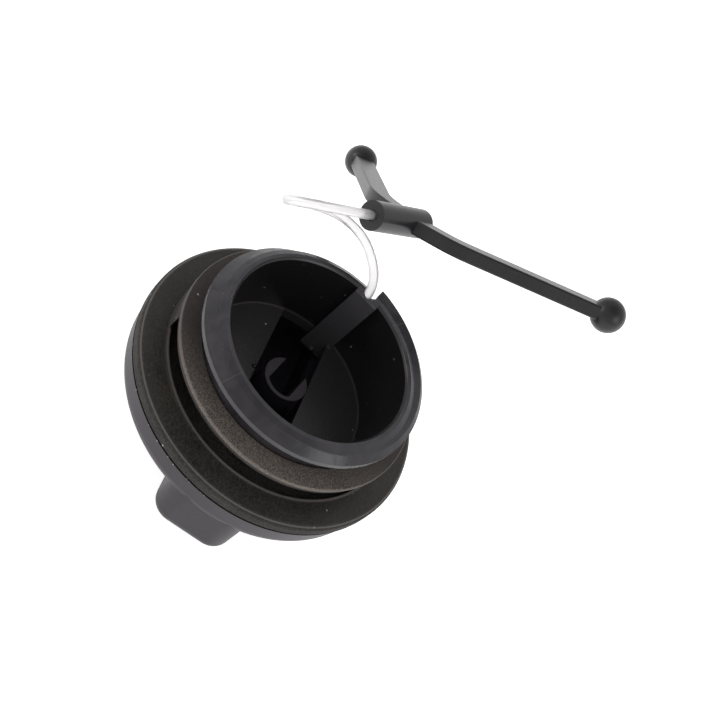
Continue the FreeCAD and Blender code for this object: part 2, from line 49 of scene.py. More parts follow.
print("nodes", sorted(nodes))

# %% [markdown]
# ## Camera
# The photograph looks down into the mouth from 44.5 degrees above the table, with a rolled camera,
# so that the cap's axis points up and to the right. The place, the angles and the lens could be
# dragged until they fit. Here they are numbers that were fitted to the circles of the rim, the
# gasket and the flange, so that they stay the same each time.

# %% Camera at the photograph's angle
CAMERA_PLACE = Vector((154.24, -50.57, 192.29)) * MM
CAMERA_AZIMUTH = math.radians(160.0)
CAMERA_DROP = math.radians(44.5)
CAMERA_ROLL = math.radians(50.35)
LENS_MM = 74.0
FILM_MM = 36.0


def add_object(name, data):
    """An object in the scene that shows the data."""
    made = bpy.data.objects.new(name, data)
    bpy.context.scene.collection.objects.link(made)
    return made


def looking(azimuth, drop, roll):
    """Rotation of a camera that looks along an azimuth, drops below the horizon and rolls."""
    ahead = Vector((
        math.cos(azimuth) * math.cos(drop), math.sin(azimuth) * math.cos(drop), -math.sin(drop)))
    level = ahead.cross(Vector((0, 0, 1))).normalized()
    upright = level.cross(ahead)
    right = level * math.cos(roll) + upright * math.sin(roll)
    up = right.cross(ahead)
    return Matrix((right, up, -ahead)).transposed()


def add_camera():
    """The photograph's camera."""
    data = bpy.data.cameras.new("photo_camera")
    data.lens = LENS_MM
    data.sensor_width = FILM_MM
    data.clip_start = 0.01
    camera = add_object("photo_camera", data)
    turning = looking(CAMERA_AZIMUTH, CAMERA_DROP, CAMERA_ROLL)
    camera.matrix_world = Matrix.Translation(CAMERA_PLACE) @ turning.to_4x4()
    bpy.context.scene.camera = camera
    return camera


camera = add_camera()
print("camera", [round(value, 4) for value in camera.location])

# %% [markdown]
# ## Node helpers
# Every finish here is built from shader nodes, which could also be wired by hand in the editor.
# In a script one function is enough: it adds a node with its settings, its values and its links.
# Another turns sRGB hex colours to the linear values that shaders want.


# %% Colour and node helpers
def srgb(code):
    """Linear RGBA from an sRGB hex colour."""
    parts = [int(code[at:at + 2], 16) / 255 for at in (0, 2, 4)]
    return tuple(part / 12.92 if part <= 0.04045 else ((part + 0.055) / 1.055) ** 2.4
                 for part in parts) + (1.0,)


def add_node(tree, kind, values=None, **settings):
    """A node with its settings, its socket values and its links."""
    node = tree.nodes.new(kind)
    for name, value in settings.items():
        setattr(node, name, value)
    for socket, value in (values or {}).items():
        if isinstance(value, bpy.types.NodeSocket):
            tree.links.new(value, node.inputs[socket])
        else:
            node.inputs[socket].default_value = value
    return node


def new_material(name):
    """An empty material with its node tree and its shader."""
    material = bpy.data.materials.new(name)
    material.use_nodes = True
    tree = material.node_tree
    tree.nodes.clear()
    shader = add_node(tree, "ShaderNodeBsdfPrincipled")
    add_node(tree, "ShaderNodeOutputMaterial", {"Surface": shader.outputs["BSDF"]})
    return material, tree, shader


print("the grey 808080 in linear light", [round(part, 3) for part in srgb("808080")])

# %% [markdown]
# ## What every moulding shares
# A moulding is never one tone: it drifts a little over a centimetre, and the spark-eroded steel of
# its mould leaves a fine even grain. A picture of such a surface would do, but noise in the cap's
# own frame needs no unwrapping and has a real size. The grain of the real mould is about 0.1 mm,
# and it is drawn three or four times as coarse, because a finer one would not show.

# %% Tone and grain of a moulding
DRIFT_MM = 9
GRAIN_SHARE = 0.6
MOTTLE_SPAN = {"From Min": 0.36, "From Max": 0.64}
GRAIN_SPAN = {"From Min": 0.3, "From Max": 0.7}


def start_moulding(name, base, tint, grain_mm):
    """A material with a drifting tone between two colours and a grain."""
    material, tree, shader = new_material(name)
    place = add_node(tree, "ShaderNodeTexCoord").outputs["Object"]
    drift = add_node(tree, "ShaderNodeTexNoise", {
        "Vector": place, "Scale": 1 / (DRIFT_MM * MM), "Detail": 3.0, "Roughness": 0.6})
    grain = add_node(tree, "ShaderNodeTexNoise", {
        "Vector": place, "Scale": 1 / (grain_mm * MM), "Detail": 2.0, "Roughness": 0.6})
    mottle = add_node(tree, "ShaderNodeMix", {
        "Factor": GRAIN_SHARE, "A": drift.outputs["Fac"], "B": grain.outputs["Fac"]})
    spread = add_node(tree, "ShaderNodeMapRange", {
        "Value": mottle.outputs["Result"], **MOTTLE_SPAN})
    tone = add_node(tree, "ShaderNodeMix", {
        "Factor": spread.outputs["Result"], "A": srgb(base), "B": srgb(tint)}, data_type="RGBA")
    return material, tree, shader, place, tone.outputs["Result"], grain.outputs["Fac"]


def finish_moulding(tree, shader, colour, roughness, relief, bump, depth_mm, ior):
    """Link the colour, the roughness and the relief of a moulding to its shader."""
    tree.links.new(colour, shader.inputs["Base Color"])
    tree.links.new(roughness, shader.inputs["Roughness"])
    raised = add_node(tree, "ShaderNodeBump", {
        "Height": relief, "Strength": bump, "Distance": depth_mm * MM})
    tree.links.new(raised.outputs["Normal"], shader.inputs["Normal"])
    shader.inputs["IOR"].default_value = ior


print("tone drifts over", DRIFT_MM, "mm")

# %% [markdown]
# ## Pale specks
# Dust and tiny chips catch on a moulding. They could be little meshes, but there are hundreds, so
# each is a cell of a Voronoi pattern whose middle is painted. The cell's own random colour chooses
# which cells show a speck, and how strong it is.

# %% Pale specks
SPECK_RIM, SPECK_CORE = 0.60, 0.35
STRONGEST_SPECK = 0.8


def add_specks(tree, place, colour, speck, apart_mm, size_mm, share):
    """The colour with sparse round specks on it."""
    cells = add_node(tree, "ShaderNodeTexVoronoi", {"Vector": place, "Scale": 1 / (apart_mm * MM)})
    dot = add_node(tree, "ShaderNodeMapRange", {
        "Value": cells.outputs["Distance"], "From Min": size_mm / apart_mm * SPECK_RIM,
        "From Max": size_mm / apart_mm * SPECK_CORE})
    chance = add_node(tree, "ShaderNodeSeparateColor", {"Color": cells.outputs["Color"]})
    shown = add_node(tree, "ShaderNodeMath", {
        0: chance.outputs["Red"], 1: share}, operation="LESS_THAN")
    strength = add_node(tree, "ShaderNodeMath", {
        0: chance.outputs["Green"], 1: STRONGEST_SPECK}, operation="MULTIPLY")
    both = add_node(tree, "ShaderNodeMath", {
        0: dot.outputs["Result"], 1: shown.outputs["Value"]}, operation="MULTIPLY")
    amount = add_node(tree, "ShaderNodeMath", {
        0: both.outputs["Value"], 1: strength.outputs["Value"]}, operation="MULTIPLY")
    mixed = add_node(tree, "ShaderNodeMix", {
        "Factor": amount.outputs["Value"], "A": colour, "B": srgb(speck)}, data_type="RGBA")
    return mixed.outputs["Result"]


print("specks fade out from", SPECK_CORE, "to", SPECK_RIM, "of their size")

# %% [markdown]
# ## Where the insert's finishes lie
# One moulding has four finishes. Its flange, collar and seat come from an eroded mould half and are
# matte. Its neck was shaped by polished slides, its inside by a polished core, and the rib that
# holds the cord is a matte block. The faces could be given a material each, but a mesh from a
# construction model is renewed with every change. So masks are made from the distance to the cap's
# axis and the height above the table, and they hold for any mesh of the same shape.

# %% Masks of the insert
NECK_FOOT = 21.9 * MM
NECK_INSIDE = 16.2 * MM
FLOOR_TOP = 14.8 * MM
RIB_ANGLE = math.radians(166.5)
RIB_HALF_WIDTH = 2.20 * MM
RIB_FACE = 14.0 * MM
QUARTER_TURN = math.pi / 2


def heading(angle):
    """The level direction at an angle round the cap's axis."""
    return math.cos(angle), math.sin(angle), 0.0


def axis_distance(tree, place):
    """The place flattened onto the table, and its distance from the cap's axis."""
    flat = add_node(tree, "ShaderNodeVectorMath", {
        0: place, 1: (1.0, 1.0, 0.0)}, operation="MULTIPLY").outputs["Vector"]
    radius = add_node(tree, "ShaderNodeVectorMath", {0: flat}, operation="LENGTH").outputs["Value"]
    return flat, radius


def rib_mask(tree, place):
    """A mask of the wall rib's block."""
    beside = add_node(tree, "ShaderNodeVectorMath", {
        0: place, 1: heading(RIB_ANGLE + QUARTER_TURN)}, operation="DOT_PRODUCT")
    off = add_node(tree, "ShaderNodeMath", {0: beside.outputs["Value"]}, operation="ABSOLUTE")
    within = add_node(tree, "ShaderNodeMapRange", {
        "Value": off.outputs["Value"], "From Min": RIB_HALF_WIDTH + 0.07 * MM,
        "From Max": RIB_HALF_WIDTH})
    outward = add_node(tree, "ShaderNodeVectorMath", {
        0: place, 1: heading(RIB_ANGLE)}, operation="DOT_PRODUCT")
    at_face = add_node(tree, "ShaderNodeMapRange", {
        "Value": outward.outputs["Value"], "From Min": RIB_FACE, "From Max": RIB_FACE + 0.2 * MM})
    return add_node(tree, "ShaderNodeMath", {
        0: within.outputs["Result"], 1: at_face.outputs["Result"]},
        operation="MULTIPLY").outputs["Value"]


def insert_masks(tree, place):
    """Measures and masks of the insert's areas."""
    flat, radius = axis_distance(tree, place)
    height = add_node(tree, "ShaderNodeSeparateXYZ", {"Vector": place}).outputs["Z"]
    outside = add_node(tree, "ShaderNodeMapRange", {
        "Value": radius, "From Min": NECK_INSIDE, "From Max": NECK_INSIDE + 0.2 * MM})
    above = add_node(tree, "ShaderNodeMapRange", {
        "Value": height, "From Min": NECK_FOOT - 0.2 * MM, "From Max": NECK_FOOT + 0.6 * MM})
    neck = add_node(tree, "ShaderNodeMath", {
        0: outside.outputs["Result"], 1: above.outputs["Result"]}, operation="MULTIPLY")
    floor = add_node(tree, "ShaderNodeMapRange", {
        "Value": height, "From Min": FLOOR_TOP + 0.1 * MM, "From Max": FLOOR_TOP})
    return {
        "flat": flat, "radius": radius, "height": height, "outside": outside.outputs["Result"],
        "neck": neck.outputs["Value"], "floor": floor.outputs["Result"],
        "rib": rib_mask(tree, place)}


print("masks from a neck foot at", NECK_FOOT, "and a rib at", round(math.degrees(RIB_ANGLE), 1))

# %% [markdown]
# ## Colours of the insert
# The matte skin is a little brown where dust has settled, the polished neck has a violet bloom with
# a painted sheen in patches of some millimetres, and the inside is the plastic's own black. The
# colours are mixed one over the other by the masks, as one would spray them through stencils.

# %% Colours of the insert
INSERT_COLOURS = {
    "core": "171617", "floor": "2A292A", "rib": "3B393C", "neck": "100F11", "bloom_and_sheen": "3F3C41"}


def insert_colour(tree, tone, waves, masks):
    """The black core, its paler floor, the grey rib and over them the outer skin."""
    linear = {area: srgb(code) for area, code in INSERT_COLOURS.items()}
    # A violet bloom with a painted sheen: its paler patches stand for the neck's mottled
    # highlights.
    bloom_and_sheen = add_node(tree, "ShaderNodeMix", {
        "Factor": waves, "A": linear["neck"], "B": linear["bloom_and_sheen"]}, data_type="RGBA")
    skin = add_node(tree, "ShaderNodeMix", {
        "Factor": masks["neck"], "A": tone, "B": bloom_and_sheen.outputs["Result"]}, data_type="RGBA")
    layers = {"floor": linear["floor"], "rib": linear["rib"], "outside": skin.outputs["Result"]}
    colour = linear["core"]
    for area, layer in layers.items():
        colour = add_node(tree, "ShaderNodeMix", {
            "Factor": masks[area], "A": colour, "B": layer}, data_type="RGBA").outputs["Result"]
    return colour


print("insert colours", INSERT_COLOURS)

# %% [markdown]
# Three edges carry a painted highlight as a thin pale line: the flange's rounded edge, the curb of
# the pockets and the gasket seat, and a thin pale line is painted at the foot of the inside wall
# too.
# Such a line lies at one radius and one height, so two comparisons find it. The mould's two slides
# left a faint seam down each side of the neck, in one plane through the cap's axis.

# %% Pale lines and the seams
# Radius, half width, height and half height of each line, in millimetres, and its strength
PALE_LINES_MM = {
    # The first three are painted highlights on edges; the last is a pale line at the foot of the
    # inside wall.
    "painted highlight on the flange edge": (25.10, 0.12, 15.85, 0.30, 0.30),
    "curb of the pockets": (21.05, 0.22, 16.90, 0.06, 0.45),
    "gasket seat": (17.60, 0.20, 23.60, 0.06, 0.40),
    "foot of the inside wall": (15.45, 0.09, 14.85, 0.25, 0.22),
}
SEAM_ANGLE = math.radians(324.5)
SEAM_HALF_WIDTH = 0.08 * MM
SEAM_STRENGTH = 0.14


def paint_pale_line(tree, colour, first, second, strength):
    """The colour painted pale where two masks meet: the painted highlights, the pale line and the
    seam.
    """
    both = add_node(tree, "ShaderNodeMath", {0: first, 1: second}, operation="MULTIPLY")
    amount = add_node(tree, "ShaderNodeMath", {
        0: both.outputs["Value"], 1: strength}, operation="MULTIPLY")
    paled = add_node(tree, "ShaderNodeMix", {
        "Factor": amount.outputs["Value"], "A": colour, "B": srgb("7A7270")}, data_type="RGBA")
    return paled.outputs["Result"]


def add_pale_lines(tree, place, colour, masks):
    """The colour with its painted highlight lines, its pale line at the wall's foot and its seams.
    """
    # Painted highlights along the edges, and the pale line at the wall's foot.
    for ring, half_width, level, half_height, strength in PALE_LINES_MM.values():
        across = add_node(tree, "ShaderNodeMath", {
            0: masks["radius"], 1: ring * MM, 2: half_width * MM}, operation="COMPARE")
        upright = add_node(tree, "ShaderNodeMath", {
            0: masks["height"], 1: level * MM, 2: half_height * MM}, operation="COMPARE")
        colour = paint_pale_line(tree, colour, across.outputs["Value"], upright.outputs["Value"], strength)
    beside = add_node(tree, "ShaderNodeVectorMath", {
        0: place, 1: heading(SEAM_ANGLE + QUARTER_TURN)}, operation="DOT_PRODUCT")
    seam = add_node(tree, "ShaderNodeMath", {
        0: beside.outputs["Value"], 1: 0.0, 2: SEAM_HALF_WIDTH}, operation="COMPARE")
    return paint_pale_line(tree, colour, seam.outputs["Value"], masks["neck"], SEAM_STRENGTH)


print("pale lines", list(PALE_LINES_MM))

# %% [markdown]
# ## Gloss and relief of the insert
# Polished steel leaves a polished neck and a core that mirrors its own dark walls. The flange's
# rim is the dullest, because hands have dulled it. The relief is the mould's grain on the matte
# skin and a slow swell on the neck, and the ejector pins left three shallow rings on the floor.
# They are bumps in the shader, because none is deeper than a twentieth of a millimetre.

# %% Gloss and relief of the insert
FLANGE_SIDE = 25.15 * MM
GLOSS = {"flange side": 0.85, "neck": 0.20, "core": 0.30, "rib": 0.60}
SWELL, FINE_SHARE = 3.0, 0.3
# Across, along and radius of each ring, in millimetres
EJECTOR_MARKS_MM = [(-7.85, -7.25, 1.9), (-7.13, 5.86, 1.9), (8.4, -7.4, 1.5)]
MARK_HALF_WIDTH = 0.12 * MM


def insert_roughness(tree, grain, masks):
    """The roughness of each area."""
    matte = add_node(tree, "ShaderNodeMapRange", {
        "Value": grain, **GRAIN_SPAN, "To Min": 0.46, "To Max": 0.62})
    side = add_node(tree, "ShaderNodeMapRange", {
        "Value": masks["radius"], "From Min": FLANGE_SIDE, "From Max": FLANGE_SIDE + 0.15 * MM})
    dulled = add_node(tree, "ShaderNodeMix", {
        "Factor": side.outputs["Result"], "A": matte.outputs["Result"], "B": GLOSS["flange side"]})
    skin = add_node(tree, "ShaderNodeMix", {
        "Factor": masks["neck"], "A": dulled.outputs["Result"], "B": GLOSS["neck"]})
    core = add_node(tree, "ShaderNodeMix", {
        "Factor": masks["rib"], "A": GLOSS["core"], "B": GLOSS["rib"]})
    return add_node(tree, "ShaderNodeMix", {
        "Factor": masks["outside"], "A": core.outputs["Result"],
        "B": skin.outputs["Result"]}).outputs["Result"]


def insert_relief(tree, grain, waves, masks):
    """Grain on the matte skin, a swell on the neck and rings of ejector pins on the floor."""
    fine = add_node(tree, "ShaderNodeMath", {0: grain, 1: FINE_SHARE}, operation="MULTIPLY")
    swell = add_node(tree, "ShaderNodeMath", {
        0: waves, 1: SWELL, 2: fine.outputs["Value"]}, operation="MULTIPLY_ADD")
    relief = add_node(tree, "ShaderNodeMix", {
        "Factor": masks["neck"], "A": grain, "B": swell.outputs["Value"]}).outputs["Result"]
    for across, up, wide in EJECTOR_MARKS_MM:
        centre = add_node(tree, "ShaderNodeVectorMath", {
            0: masks["flat"], 1: (across * MM, up * MM, 0.0)}, operation="DISTANCE")
        ring = add_node(tree, "ShaderNodeMath", {
            0: centre.outputs["Value"], 1: wide * MM, 2: MARK_HALF_WIDTH}, operation="COMPARE")
        relief = add_node(tree, "ShaderNodeMath", {
            0: relief, 1: ring.outputs["Value"]}, operation="SUBTRACT").outputs["Value"]
    return relief


print("gloss", GLOSS, "and", len(EJECTOR_MARKS_MM), "ejector marks")

# %% [markdown]
# The insert's nylon is all of this together, with a noise of some millimetres that drives the
# neck's bloom and painted sheen and its swell, so that light and colour drift together as on the
# real neck.

# %% Moulded nylon finish
WAVE_MM = 4


def moulded_nylon(name):
    """Black glass-filled nylon with matte, polished and rubbed areas."""
    material, tree, shader, place, tone, grain = start_moulding(
        name, base="120F0E", tint="35312D", grain_mm=0.35)
    masks = insert_masks(tree, place)
    waves = add_node(tree, "ShaderNodeTexNoise", {
        "Vector": place, "Scale": 1 / (WAVE_MM * MM), "Detail": 2.0,
        "Distortion": 0.6}).outputs["Fac"]
    colour = insert_colour(tree, tone, waves, masks)
    colour = add_pale_lines(tree, place, colour, masks)
    colour = add_specks(
        tree, place, colour, speck="C4BBB2", apart_mm=2.0, size_mm=0.32, share=0.28)
    finish_moulding(
        tree, shader, colour, roughness=insert_roughness(tree, grain, masks),
        relief=insert_relief(tree, grain, waves, masks), bump=0.6, depth_mm=0.07, ior=1.45)
    return material


insert_plastic = moulded_nylon("moulded_black_nylon")
print("insert finish", insert_plastic.name, "of", len(insert_plastic.node_tree.nodes), "nodes")

# %% [markdown]
# ## Satin polypropylene of the cover and the retainer
# The cover is a softer polypropylene with a violet-grey bloom, and its mould was only sanded, so
# the light runs along it in long satin gradients. The retainer is the same kind of plastic from a
# smoother mould, and a little darker. One function with other values makes both.


# %% Satin polypropylene finish
def satin_polypropylene(name, base, tint, roughness, ior):
    """Black polypropylene with a faint bloom and a satin gloss."""
    material, tree, shader, place, tone, grain = start_moulding(name, base, tint, grain_mm=0.30)
    colour = add_specks(
        tree, place, tone, speck="B4ACB4", apart_mm=2.8, size_mm=0.32, share=0.15)
    gloss = add_node(tree, "ShaderNodeMapRange", {
        "Value": grain, **GRAIN_SPAN, "To Min": roughness - 0.04, "To Max": roughness + 0.06})
    finish_moulding(
        tree, shader, colour, roughness=gloss.outputs["Result"], relief=grain,
        bump=0.22, depth_mm=0.04, ior=ior)
    return material


cover_plastic = satin_polypropylene(
    "satin_cover_polypropylene", base="242025", tint="332E35", roughness=0.42, ior=1.38)
retainer_plastic = satin_polypropylene(
    "satin_retainer_polypropylene", base="121013", tint="1E1B1E", roughness=0.34, ior=1.42)
print("satin finishes", cover_plastic.name, retainer_plastic.name)

# %% [markdown]
# ## Nitrile rubber of the gasket
# The gasket is punched from rubber sheet: matte, brown-black and open-grained. On the side that
# faces the camera its grain is painted pale, where it looks like sand: a painted grazing highlight
# with some dust in it. Its punched outer edge is a thin pale line. The sand is a fine noise that
# fades in along one axis, because a scatter of real grains would weigh more than all the rest of
# the scene.

# %% Nitrile rubber finish
GRAIN_SHEEN_STARTS, GRAIN_SHEEN_FULL = 6 * MM, 18 * MM
GRIT_MM = 0.22
PUNCHED_EDGE = 21.30 * MM


def punched_rubber(name):
    """Matte nitrile rubber with a painted grazing highlight and dust on its grain, and a pale
    punched edge.
    """
    material, tree, shader, place, tone, grain = start_moulding(
        name, base="2C2624", tint="3E3633", grain_mm=0.42)
    apart = add_node(tree, "ShaderNodeSeparateXYZ", {"Vector": place})
    side = add_node(tree, "ShaderNodeMapRange", {
        "Value": apart.outputs["X"], "From Min": GRAIN_SHEEN_STARTS, "From Max": GRAIN_SHEEN_FULL})
    grit = add_node(tree, "ShaderNodeTexNoise", {
        "Vector": place, "Scale": 1 / (GRIT_MM * MM), "Detail": 1.0}).outputs["Fac"]
    grain_sheen = add_node(tree, "ShaderNodeMapRange", {
        "Value": grit, "From Min": 0.40, "From Max": 0.68, "To Min": 0.1, "To Max": 0.6})
    dust_and_sheen = add_node(tree, "ShaderNodeMath", {
        0: grain_sheen.outputs["Result"], 1: side.outputs["Result"]}, operation="MULTIPLY")
    # Painted grazing highlight with dust: the grain is painted pale on the side towards the camera.
    dust_and_sheen_colour = add_node(tree, "ShaderNodeMix", {
        "Factor": dust_and_sheen.outputs["Value"], "A": tone, "B": srgb("857D73")}, data_type="RGBA")
    cut = add_node(tree, "ShaderNodeMapRange", {
        "Value": axis_distance(tree, place)[1], "From Min": PUNCHED_EDGE,
        "From Max": PUNCHED_EDGE + 0.06 * MM, "To Max": 0.15})
    edged = add_node(tree, "ShaderNodeMix", {
        "Factor": cut.outputs["Result"], "A": dust_and_sheen_colour.outputs["Result"], "B": srgb("776C66")},
        data_type="RGBA")
    colour = add_specks(
        tree, place, edged.outputs["Result"], speck="C9C1B8", apart_mm=2.2, size_mm=0.34,
        share=0.25)
    gloss = add_node(tree, "ShaderNodeMapRange", {
        "Value": grain, **GRAIN_SPAN, "To Min": 0.62, "To Max": 0.78})
    finish_moulding(
        tree, shader, colour, roughness=gloss.outputs["Result"], relief=grit,
        bump=0.6, depth_mm=0.06, ior=1.5)
    return material


gasket_rubber = punched_rubber("punched_nitrile_rubber")
print("gasket finish", gasket_rubber.name)

# %% [markdown]
# ## Nylon cord
# The tether is drawn nylon: nearly white, smooth and milky, so that it almost vanishes before a
# white ground. A white paint would look grey there, so the shader lets most of the light through.

# %% Nylon cord finish
MILKY_MM = 1.2


def drawn_nylon(name):
    """White drawn nylon with a soft gloss."""
    material, tree, shader = new_material(name)
    place = add_node(tree, "ShaderNodeTexCoord").outputs["Object"]
    drift = add_node(tree, "ShaderNodeTexNoise", {
        "Vector": place, "Scale": 1 / (MILKY_MM * MM), "Detail": 2.0})
    tone = add_node(tree, "ShaderNodeMix", {
        "Factor": drift.outputs["Fac"], "A": srgb("F6F3F4"), "B": srgb("FFFFFF")}, data_type="RGBA")
    tree.links.new(tone.outputs["Result"], shader.inputs["Base Color"])
    shader.inputs["Roughness"].default_value = 0.3
    shader.inputs["IOR"].default_value = 1.53
    shader.inputs["Transmission Weight"].default_value = 0.7
    return material


cord_nylon = drawn_nylon("white_drawn_nylon")
print("cord finish", cord_nylon.name)

# %% [markdown]
# ## Dress the rigid nodes
# The mouldings, the gasket and the bead keep the construction model's solids, whose shapes are
# right, and only get their finishes.

# %% Finishes of the rigid nodes
FINISHES = {
    "threaded_insert": insert_plastic,
    "outer_cover": cover_plastic,
    "gasket": gasket_rubber,
    "retainer": retainer_plastic,
    "cord_bead": cord_nylon,
}
for name, material in FINISHES.items():
    nodes[name].data.materials.clear()
    nodes[name].data.materials.append(material)
print("dressed", list(FINISHES))

# %% [markdown]
# ## The cord
# A real cord has no corners, and the construction model's tube is straight runs joined by arcs. So
# the cord is drawn anew as one smooth NURBS line with a round section, through the air from the
# rib's hole to the bead in the barrel. Its control points are the tube's own route.

# %% The tether cord
CORD_DIAMETER = 1.6 * MM
CORD_ROUTE_MM = [
    (-15.95, 3.83, 24.75),
    (-15.95, 3.83, 30.05),
    (-19.6, -1.4, 33.6),
    (-20.6, -7.2, 34.4),
    (-18.6, -12.8, 34.4),
    (-14.6, -17.2, 35.4),
    (-10.8, -18.4, 38.8),
    (-9.2, -15.6, 42.6),
    (-12.52, -9.57, 43.10),
    (-23.11, 0.40, 39.06),
]


def add_cord():
    """The cord as a round NURBS curve."""
    curve = bpy.data.curves.new("tether_cord_line", "CURVE")
    curve.dimensions = "3D"
    curve.bevel_depth = CORD_DIAMETER / 2
    curve.bevel_resolution = 6
    curve.resolution_u = 16
    curve.use_fill_caps = True
    spline = curve.splines.new("NURBS")
    spline.points.add(len(CORD_ROUTE_MM) - 1)
    for point, place in zip(spline.points, CORD_ROUTE_MM):
        point.co = (*(Vector(place) * MM), 1.0)
    spline.order_u = 3
    spline.use_endpoint_u = True
    curve.materials.append(cord_nylon)
    return add_object("nylon_cord", curve)


cord = add_cord()
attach(cord, "cap")
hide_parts("tether_cord")
print("cord points", len(CORD_ROUTE_MM))

# %% [markdown]
# ## Gate nubs
# Where the molten nylon came in, two little torn nubs are left inside: one at the rib's foot and
# one on the edge of the floor. Each could be sculpted, but at half a millimetre a squashed ball
# whose points are pushed about a little says the same.

# %% Torn gate nubs
# Centre and radius of each nub, in millimetres
NUBS_MM = {
    "rib_gate_nub": ((-14.35, 3.45, 11.3), 0.55),
    "floor_gate_nub": ((-0.6, -5.0, 14.75), 0.4),
}
WOBBLE, SQUASH = 0.16, 0.8
# Turns of the wobble's two waves, in radians for each metre, and the start of the first
WAVE_ACROSS, WAVE_ALONG, WAVE_START = 9000, 7000, 4


def add_piece(name, mesh, material):
    """A smooth-shaded mesh that rides on the cap, with its finish."""
    mesh.polygons.foreach_set("use_smooth", [True] * len(mesh.polygons))
    mesh.materials.append(material)
    piece = add_object(name, mesh)
    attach(piece, "cap")
    print(name, "has", len(mesh.polygons), "faces")


def nub_mesh(name, centre, size):
    """A small torn lump."""
    shape = bmesh.new()
    bmesh.ops.create_icosphere(shape, subdivisions=3, radius=size * MM)
    for vertex in shape.verts:
        across = math.sin(WAVE_ACROSS * vertex.co.x + WAVE_START)
        push = 1 + WOBBLE * across * math.cos(WAVE_ALONG * vertex.co.y)
        vertex.co = Vector((vertex.co.x * push, vertex.co.y * push, vertex.co.z * SQUASH))
        vertex.co += Vector(centre) * MM
    mesh = bpy.data.meshes.new(name)
    shape.to_mesh(mesh)
    shape.free()
    return mesh


for name, (centre, size) in NUBS_MM.items():
    add_piece(name, nub_mesh(name, centre, size), insert_plastic)

# %% [markdown]
# ## Painted shadow in the joint
# A thin dark line runs round the cap where the cover's lip meets the flange. It is painted shade:
# the shadow in the gap of the joint, given as a black ring that gives back no light, so its shader
# has no specular reflection. A curve with a round section would give nearly the same ring, but the
# line is higher than it is deep, so a small oval is swept round the axis in mesh code.

# %% Painted joint shadow
SHADOW_RING_RADIUS, SHADOW_RING_HEIGHT = 25.28 * MM, 13.62 * MM
SHADOW_RING_ACROSS, SHADOW_RING_UP = 0.18 * MM, 0.24 * MM
STEPS_AROUND, STEPS_ACROSS = 256, 10
SHADOW_NOISE_MM = 0.8


def painted_shadow_black(name):
    """Black painted shadow without a shine, in a faint noise."""
    material, tree, shader = new_material(name)
    place = add_node(tree, "ShaderNodeTexCoord").outputs["Object"]
    shadow_noise = add_node(tree, "ShaderNodeTexNoise", {"Vector": place, "Scale": 1 / (SHADOW_NOISE_MM * MM)})
    # Near-black tone of the painted shadow in the joint.
    tone = add_node(tree, "ShaderNodeMix", {
        "Factor": shadow_noise.outputs["Fac"], "A": srgb("050505"), "B": srgb("161413")}, data_type="RGBA")
    tree.links.new(tone.outputs["Result"], shader.inputs["Base Color"])
    shader.inputs["Roughness"].default_value = 0.9
    shader.inputs["Specular IOR Level"].default_value = 0.0
    return material


def shadow_ring_mesh(name):
    """An oval swept round the cap's axis."""
    points, faces = [], []
    for step in range(STEPS_AROUND):
        turn = 2 * math.pi * step / STEPS_AROUND
        for corner in range(STEPS_ACROSS):
            lean = 2 * math.pi * corner / STEPS_ACROSS
            radius = SHADOW_RING_RADIUS + SHADOW_RING_ACROSS * math.cos(lean)
            points.append((radius * math.cos(turn), radius * math.sin(turn),
                           SHADOW_RING_HEIGHT + SHADOW_RING_UP * math.sin(lean)))
            here = step * STEPS_ACROSS
            there = (step + 1) % STEPS_AROUND * STEPS_ACROSS
            beside = (corner + 1) % STEPS_ACROSS
            faces.append((here + corner, there + corner, there + beside, here + beside))
    mesh = bpy.data.meshes.new(name)
    mesh.from_pydata(points, [], faces)
    return mesh


# The black ring is painted shade, where the joint's gap lies in shadow.
add_piece("painted_joint_shadow", shadow_ring_mesh("painted_joint_shadow"), painted_shadow_black("painted_shadow_material"))

# %% [markdown]
# ## Flash along the parting line
# Where the cover meets the insert, the moulds left a row of tiny pale chips of flash. Placing them
# by hand would take long and look placed. Geometry Nodes put small rough grains on a ring and keep
# only some of them, most on one side as in the photograph, and fixed seeds make the row come out
# the same each time.

# %% Grains on a ring
FLASH_INPUTS = {"Radius": 25.38 * MM, "Height": 13.50 * MM, "Grain": 0.15 * MM, "Kept": 0.45}
DENSEST = math.radians(318)
RING_STEPS = 220
FARTHEST_STRAY = (0.10 * MM, 0.10 * MM, 0.15 * MM)
CROWD_STARTS, CROWD_FULL, FEWEST_KEPT = 18 * MM, 23 * MM, 0.03
LEAST_SIZE, MOST_SIZE = (0.35, 0.35, 0.3), (1.2, 1.2, 0.8)
MOST_TURN = (3.0, 3.0, 3.0)
SEEDS = {"stray": 4, "keep": 9, "size": 2, "turn": 7}


